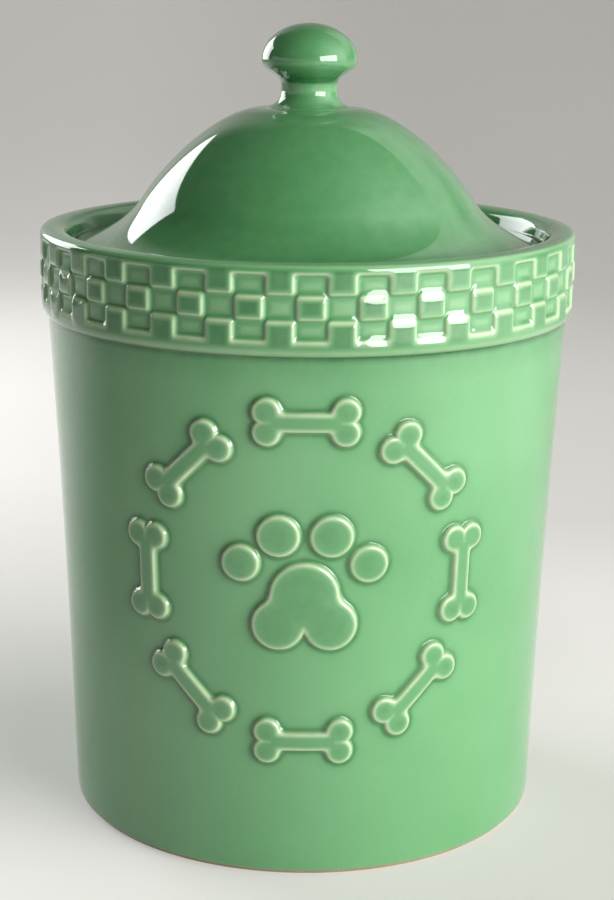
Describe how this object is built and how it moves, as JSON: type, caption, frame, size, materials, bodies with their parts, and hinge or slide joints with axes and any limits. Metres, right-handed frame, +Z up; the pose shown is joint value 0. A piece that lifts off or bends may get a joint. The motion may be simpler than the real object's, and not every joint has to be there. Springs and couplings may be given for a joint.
{
  "type": "treat canister",
  "caption": "Glazed ceramic treat canister with a tapering wall, a raised checker rim band, a paw and bone medallion and a drop-in domed lid with a round knob.",
  "frame": {"origin": "centre of the foot ring, on the table", "axes": "+Z up along the jar's axis, -Y towards the front with the medallion, +X to the right seen from the front"},
  "size_m": [0.172, 0.172, 0.2549],
  "materials": {
    "green_glaze": "glossy celadon-green glaze that breaks pale on raised edges, over cream stoneware that is bare under the foot"
  },
  "bodies": {
    "jar": {"jar": "green_glaze"},
    "lid": {"lid_dome": "green_glaze", "lid_knob": "green_glaze"}
  },
  "joints": [
    {"name": "lid_lift", "type": "slide", "parent": "jar", "child": "lid", "axis": [0, 0, 1], "range_m": [0, 0.1]}
  ]
}
